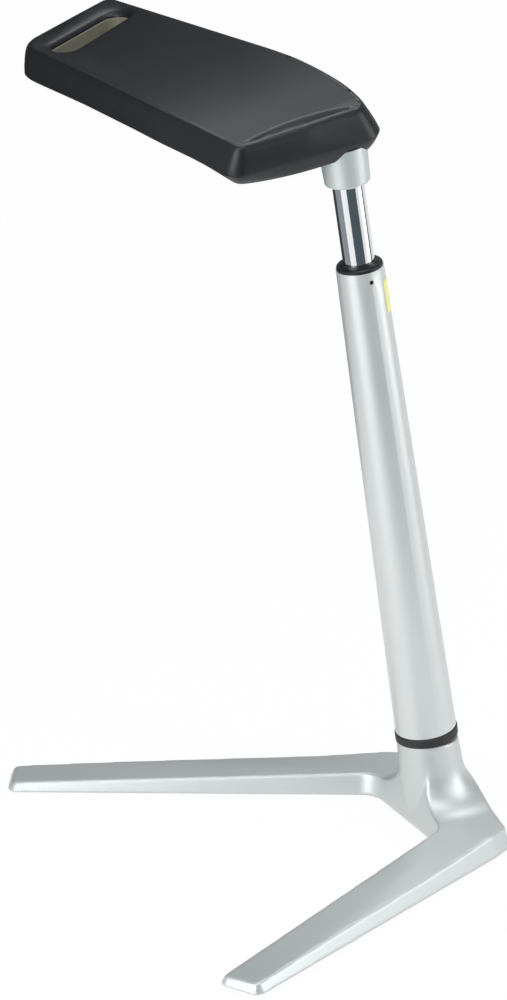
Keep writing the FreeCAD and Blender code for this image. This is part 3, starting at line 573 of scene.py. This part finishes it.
def turned_solid(name, profile):
    """A turned solid: rings of the given radii and levels, made by extruding and scaling a circle."""
    radius, level = profile[0]
    bpy.ops.object.select_all(action="DESELECT")
    bpy.ops.mesh.primitive_circle_add(vertices=ROUND_SIDES, radius=radius, fill_type="NGON",
                                      location=(0, 0, level))
    obj = bpy.context.object
    obj.name = name
    bpy.ops.object.transform_apply(location=True, rotation=True, scale=True)
    edit(obj)
    bpy.ops.mesh.select_all(action="SELECT")
    for next_radius, next_level in profile[1:]:
        bpy.ops.mesh.extrude_region_move(TRANSFORM_OT_translate={"value": (0, 0, next_level - level)})
        grow = next_radius / radius
        bpy.ops.transform.resize(value=(grow, grow, 1), center_override=(0, 0, next_level))
        radius, level = next_radius, next_level
    leave()
    outward(obj)
    return obj


def lean_back(obj):
    """Slide each level of an upright solid so that it follows the leaning column."""
    for point in obj.data.vertices:
        point.co.y += COLUMN_FOOT.y / MM - LEAN_SLIDE * point.co.z


sweep_profile = [(HUB_FOOT + SWEEP, HUB_LOW)]
for step in range(SWEEP_POINTS + 1):
    turn = math.radians(90 * step / SWEEP_POINTS)
    sweep_radius = HUB_FOOT + SWEEP * (1 - math.sin(turn))
    sweep_level = ROOT_TOP - SWEEP_SINK + SWEEP * (1 - math.cos(turn))
    sweep_profile.append((sweep_radius, sweep_level))
sweep_profile.append((HUB_RADIUS, HUB_TOP))
hub_sweep = turned_solid("hub_sweep", sweep_profile)
lean_back(hub_sweep)
foot_prism = raised_plate("foot_prism", foot_plan, UNDER_GAP + PRISM_LIFT, PRISM_EDGE,
                          [(PRISM_HEIGHT, PRISM_LEAN)])
cut_with(hub_sweep, foot_prism, "INTERSECT")
neck_profile = [(HUB_FOOT + NECK_BELLY, HUB_LOW), (HUB_FOOT, NECK_LEVEL), (HUB_RADIUS, HUB_TOP)]
hub_neck = turned_solid("hub_neck", neck_profile)
lean_back(hub_neck)
print("hub", len(hub_sweep.data.polygons) + len(hub_neck.data.polygons), "faces")

# %% [markdown]
# Legs, sweep and neck overlap, and a casting has one skin. A Boolean would join them but leave knife
# edges where they meet. A fine voxel remesh makes one skin of them instead, and a little smoothing
# takes the sharpness off every corner, as casting does.

# %% Foot casting: one skin
CASTING_VOXEL = 0.0013
CASTING_PASSES = 9

only(foot_cast)
hub_sweep.select_set(True)
hub_neck.select_set(True)
bpy.ops.object.join()
place(foot_cast, Matrix.Identity(4))
apply_modifier(foot_cast, "REMESH", mode="VOXEL", voxel_size=CASTING_VOXEL, adaptivity=0.0)
apply_modifier(foot_cast, "SMOOTH", factor=0.5, iterations=CASTING_PASSES)
smooth(foot_cast, degrees=60)
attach(foot_cast, "base")
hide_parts("foot_casting")
print("foot casting", len(foot_cast.data.polygons), "faces")

# %% [markdown]
# A real finish is never quite even: lacquer has a faint orange peel, and moulded foam has a fine
# grain. An image could be wrapped round each piece, but it would need a flat layout and would show
# its edges. Noise in the object's own coordinates has neither fault. Slow noise changes the roughness
# a little from place to place, and fine noise raises the grain.

# %% Finishes: how one is made
CLOUD_SCALE = 14.0
CLOUD_DETAIL = 4.0
GRAIN_DETAIL = 2.0
GRAIN_DEPTH = 0.0002


def finish(name, colour, metallic, roughness, spread=0.04, grain=0.0, grain_size=900, specular=0.5):
    """A surface with a small change of roughness and, where it has a grain, a fine bump over it."""
    material = bpy.data.materials.new(name)
    material.use_nodes = True
    nodes = material.node_tree.nodes
    links = material.node_tree.links
    shader = nodes["Principled BSDF"]
    shader.inputs["Base Color"].default_value = (*colour, 1)
    shader.inputs["Metallic"].default_value = metallic
    shader.inputs["Specular IOR Level"].default_value = specular
    coordinates = nodes.new("ShaderNodeTexCoord")
    clouds = nodes.new("ShaderNodeTexNoise")
    clouds.inputs["Scale"].default_value = CLOUD_SCALE
    clouds.inputs["Detail"].default_value = CLOUD_DETAIL
    span = nodes.new("ShaderNodeMapRange")
    span.inputs["To Min"].default_value = roughness - spread
    span.inputs["To Max"].default_value = roughness + spread
    links.new(coordinates.outputs["Object"], clouds.inputs["Vector"])
    links.new(clouds.outputs["Fac"], span.inputs["Value"])
    links.new(span.outputs["Result"], shader.inputs["Roughness"])
    if grain > 0:
        fine = nodes.new("ShaderNodeTexNoise")
        fine.inputs["Scale"].default_value = grain_size
        fine.inputs["Detail"].default_value = GRAIN_DETAIL
        bump = nodes.new("ShaderNodeBump")
        bump.inputs["Strength"].default_value = grain
        bump.inputs["Distance"].default_value = GRAIN_DEPTH
        links.new(coordinates.outputs["Object"], fine.inputs["Vector"])
        links.new(fine.outputs["Fac"], bump.inputs["Height"])
        links.new(bump.outputs["Normal"], shader.inputs["Normal"])
    return material


# %% [markdown]
# The silver parts are lacquered, so they are only partly metallic: the pale lacquer scatters light as
# well as mirroring it. The lift's tube is plated and nearly a mirror. The foam is black with a low
# sheen, the rubber and nylon are duller, and the liner is olive grey. Each material slot of the part
# has one finish, so every piece can be dressed by looking up its slot.

# %% Finishes: one for each material slot
FINISHES = {
    "foot_metal": finish("foot_lacquer", (0.58, 0.61, 0.60), 0.60, 0.42, grain=0.10),
    "tube_paint": finish("tube_lacquer", (0.63, 0.66, 0.65), 0.60, 0.40, grain=0.08),
    "boss_metal": finish("boss_lacquer", (0.56, 0.60, 0.59), 0.55, 0.44, grain=0.06),
    "rod_chrome": finish("plated_steel", (0.78, 0.81, 0.83), 1.0, 0.10, spread=0.02),
    "bare_steel": finish("bare_steel", (0.50, 0.50, 0.50), 1.0, 0.35),
    "black_steel": finish("blackened_steel", (0.03, 0.03, 0.03), 0.6, 0.45),
    "black_rubber": finish("mount_rubber", (0.014, 0.014, 0.015), 0.0, 0.55, grain=0.25, grain_size=700),
    "black_plastic": finish("black_nylon", (0.010, 0.010, 0.011), 0.0, 0.36, grain=0.15, specular=0.35),
    "glide_plastic": finish("glide_nylon", (0.02, 0.02, 0.02), 0.0, 0.5),
    "sticker_film": finish("blank_film", (0.80, 0.78, 0.25), 0.0, 0.35),
    "pad_foam": finish("foam_skin", (0.011, 0.0115, 0.013), 0.0, 0.36,
                       grain=0.30, grain_size=1400, specular=0.36),
    "liner_plastic": finish("liner_plastic", (0.165, 0.16, 0.125), 0.0, 0.42),
    "board_wood": finish("plywood", (0.45, 0.30, 0.16), 0.0, 0.6),
    "insert_brass": finish("insert_brass", (0.70, 0.50, 0.20), 1.0, 0.3),
}
ROUND_NODES = ("column_tube", "gas_cylinder", "seat_boss", "flex_ring", "guide_bush")


def dress(piece, slot_name):
    """Give a new piece its one finish."""
    piece.data.materials.clear()
    piece.data.materials.append(FINISHES[slot_name])


slot_of = {row["node"]: row["material_slot"] for row in frame["record"]["subparts"]}
for node_name, node in frame["nodes"].items():
    for material_slot in node.material_slots:
        material_slot.material = FINISHES[slot_of[node_name]]
dress(seat_foam, "pad_foam")
dress(slot_liner, "liner_plastic")
dress(foot_cast, "foot_metal")
for node_name in ROUND_NODES:
    smooth(frame["nodes"][node_name], degrees=30)
print("finishes", len(FINISHES), "for", len(slot_of), "nodes")

# %% [markdown]
# The stool stands on a plain pale floor before a white background. A floor lit enough to look white
# would throw too much light up under the seat. So the floor keeps its pale grey for the light that
# falls on it, but shows a white glow to the camera, and a weaker one to shiny surfaces that mirror it.

# %% Floor
FLOOR_SIZE = 14
FLOOR_GREY = 0.80
FLOOR_ROUGHNESS = 0.9
GLOW_SHARE = 0.97
MIRRORED_SHARE = 0.8


def maths(nodes, operation):
    """A node that works out one sum from two numbers."""
    node = nodes.new("ShaderNodeMath")
    node.operation = operation
    return node


bpy.ops.mesh.primitive_plane_add(size=FLOOR_SIZE, location=(0, 0, 0))
floor = bpy.context.object
floor.name = "floor"
floor_finish = bpy.data.materials.new("pale_floor")
floor_finish.use_nodes = True
floor_nodes = floor_finish.node_tree.nodes
floor_links = floor_finish.node_tree.links
floor_shader = floor_nodes["Principled BSDF"]
floor_shader.inputs["Base Color"].default_value = (FLOOR_GREY, FLOOR_GREY, FLOOR_GREY, 1)
floor_shader.inputs["Roughness"].default_value = FLOOR_ROUGHNESS
glow = floor_nodes.new("ShaderNodeEmission")
glow.inputs["Strength"].default_value = 1.0
rays = floor_nodes.new("ShaderNodeLightPath")
mirrored = maths(floor_nodes, "MULTIPLY")
mirrored.inputs[1].default_value = MIRRORED_SHARE
seen = maths(floor_nodes, "MAXIMUM")
share = maths(floor_nodes, "MULTIPLY")
share.inputs[1].default_value = GLOW_SHARE
blend = floor_nodes.new("ShaderNodeMixShader")
floor_links.new(rays.outputs["Is Glossy Ray"], mirrored.inputs[0])
floor_links.new(rays.outputs["Is Camera Ray"], seen.inputs[0])
floor_links.new(mirrored.outputs[0], seen.inputs[1])
floor_links.new(seen.outputs[0], share.inputs[0])
floor_links.new(share.outputs[0], blend.inputs[0])
floor_links.new(floor_shader.outputs[0], blend.inputs[1])
floor_links.new(glow.outputs[0], blend.inputs[2])
floor_links.new(blend.outputs[0], floor_nodes["Material Output"].inputs[0])
floor.data.materials.append(floor_finish)
print("floor", FLOOR_SIZE, "m wide")

# %% [markdown]
# The world behind the floor is handled alike: the camera sees plain white, while the light that it
# gives the stool is a weak and slightly cool one, so that the lamps draw the shapes.

# %% World
SKY_COLOUR = (0.9, 0.95, 1.0, 1)
SKY_STRENGTH = 0.32

world = bpy.data.worlds.new("studio")
bpy.context.scene.world = world
world.use_nodes = True
sky_nodes = world.node_tree.nodes
sky_links = world.node_tree.links
soft_light = sky_nodes["Background"]
soft_light.inputs["Color"].default_value = SKY_COLOUR
soft_light.inputs["Strength"].default_value = SKY_STRENGTH
backdrop = sky_nodes.new("ShaderNodeBackground")
backdrop.inputs["Color"].default_value = (1, 1, 1, 1)
backdrop.inputs["Strength"].default_value = 1.0
sky_rays = sky_nodes.new("ShaderNodeLightPath")
either = maths(sky_nodes, "MAXIMUM")
sky_blend = sky_nodes.new("ShaderNodeMixShader")
sky_links.new(sky_rays.outputs["Is Camera Ray"], either.inputs[0])
sky_links.new(sky_rays.outputs["Is Transmission Ray"], either.inputs[1])
sky_links.new(either.outputs[0], sky_blend.inputs[0])
sky_links.new(soft_light.outputs[0], sky_blend.inputs[1])
sky_links.new(backdrop.outputs[0], sky_blend.inputs[2])
sky_links.new(sky_blend.outputs[0], sky_nodes["World Output"].inputs[0])
print("world light", SKY_STRENGTH)

# %% [markdown]
# Round metal shows its lamps as upright bands. The real column has a broad bright band left of its
# middle, a grey one right of it and a bright edge. A single lamp would give one hard band, so a tall
# soft lamp stands on each side of the camera, the left one larger. A third hangs above, for the tops
# of the legs, a small one lights the lip's face, and one stands high behind, for the far edges.

# %% Lamps
STAGE_Y = -0.08
LAMP_TARGET = Vector((0.0, STAGE_Y, 0.38))
# Name, azimuth, distance, height above the target, width, height, power
LAMPS = [
    ("left_lamp", 20, 1.8, 0.5, 1.2, 1.8, 30),
    ("right_lamp", 150, 1.8, 0.5, 0.8, 1.8, 15),
    ("top_lamp", 65, 0.6, 1.9, 1.6, 1.6, 18),
    ("lip_lamp", 116, 1.6, 0.45, 0.3, 0.7, 4),
    ("back_lamp", 240, 1.5, 2.2, 1.8, 0.6, 19),
]


def soft_lamp(name, azimuth, distance, level, width, height, power):
    """A soft lamp with level edges that faces the stool, at an azimuth seen from above."""
    turn = math.radians(azimuth)
    spot = LAMP_TARGET + Vector((math.sin(turn) * distance, -math.cos(turn) * distance, level))
    light = bpy.data.lights.new(name, "AREA")
    light.shape = "RECTANGLE"
    light.size = width
    light.size_y = height
    light.energy = power
    lamp = bpy.data.objects.new(name, light)
    bpy.context.scene.collection.objects.link(lamp)
    lamp.location = spot
    lamp.rotation_euler = (LAMP_TARGET - spot).to_track_quat("-Z", "Y").to_euler()


for row in LAMPS:
    soft_lamp(*row)
print("lamps", [row[0] for row in LAMPS])

# %% [markdown]
# Polished metal is only as dark as what it mirrors. In the photograph the plated tube carries a broad
# slate band and dark edges. Painted bands could fake them, but wouldn't follow the view. So four tall
# grey cards stand round the stool: a slate one right of the camera, a paler one left of it, and two
# dark ones towards the back, one on each side. Only reflections see them.

# %% Grey cards
CARD_HEIGHT = 1.2
CARD_ABOVE_FLOOR = 0.02
# Name, azimuth, distance, width, colour
CARDS = [
    ("slate_card", 85, 0.62, 0.92, (0.085, 0.11, 0.12)),
    ("left_soft_card", -20, 0.75, 0.72, (0.30, 0.32, 0.33)),
    ("right_edge_card", 172, 0.75, 0.16, (0.10, 0.11, 0.12)),
    ("left_edge_card", -78, 0.75, 0.90, (0.05, 0.055, 0.06)),
]


def grey_card(name, azimuth, distance, width, shade):
    """A glowing card that only reflections see, at an azimuth seen from above."""
    turn = math.radians(azimuth)
    bpy.ops.mesh.primitive_plane_add(size=1)
    card = bpy.context.object
    card.name = name
    card.scale = (width, CARD_HEIGHT, 1)
    card.location = (math.sin(turn) * distance, -math.cos(turn) * distance + STAGE_Y,
                     CARD_HEIGHT / 2 + CARD_ABOVE_FLOOR)
    card.rotation_euler = (math.radians(90), 0, turn)
    card.visible_camera = False
    card.visible_shadow = False
    card.visible_diffuse = False
    surface = bpy.data.materials.new(name + "_surface")
    surface.use_nodes = True
    nodes = surface.node_tree.nodes
    card_glow = nodes.new("ShaderNodeEmission")
    card_glow.inputs["Color"].default_value = (*shade, 1)
    surface.node_tree.links.new(card_glow.outputs[0], nodes["Material Output"].inputs[0])
    card.data.materials.append(surface)


for row in CARDS:
    grey_card(*row)
print("cards", [row[0] for row in CARDS])

# %% [markdown]
# The camera stands far away at the photograph's angle, a little rolled, with the middle of the
# picture as its centre, so it needs no shift. Its three axes are worked out from two angles and the
# roll, which is surer than turning it about until the picture fits.

# %% Camera
CAMERA_AZIMUTH = math.radians(65.39)
CAMERA_HEIGHT = math.radians(21.15)
CAMERA_ROLL = math.radians(-1.46)
CAMERA_PLACE = Vector((4.5518, -2.2857, 2.2776))
CAMERA_SENSOR = 36.0
CAMERA_SIGHT = 60.0
FOCAL_PIXELS = 6161.88
PICTURE_HEIGHT = 1000

camera_data = bpy.data.cameras.new("camera")
camera = bpy.data.objects.new("camera", camera_data)
bpy.context.scene.collection.objects.link(camera)
camera_data.sensor_width = CAMERA_SENSOR
camera_data.lens = CAMERA_SENSOR * FOCAL_PIXELS / PICTURE_HEIGHT
camera_data.clip_end = CAMERA_SIGHT
back = Vector((math.sin(CAMERA_AZIMUTH) * math.cos(CAMERA_HEIGHT),
               -math.cos(CAMERA_AZIMUTH) * math.cos(CAMERA_HEIGHT), math.sin(CAMERA_HEIGHT)))
level_right = Vector((math.cos(CAMERA_AZIMUTH), math.sin(CAMERA_AZIMUTH), 0))
level_up = back.cross(level_right)
right = level_right * math.cos(CAMERA_ROLL) + level_up * math.sin(CAMERA_ROLL)
up = level_up * math.cos(CAMERA_ROLL) - level_right * math.sin(CAMERA_ROLL)
camera.matrix_world = Matrix((
    (right.x, up.x, back.x, CAMERA_PLACE.x),
    (right.y, up.y, back.y, CAMERA_PLACE.y),
    (right.z, up.z, back.z, CAMERA_PLACE.z),
    (0, 0, 0, 1)))
bpy.context.scene.camera = camera
bpy.context.scene.view_settings.view_transform = "Standard"
print("camera lens", round(camera_data.lens, 1), "mm")
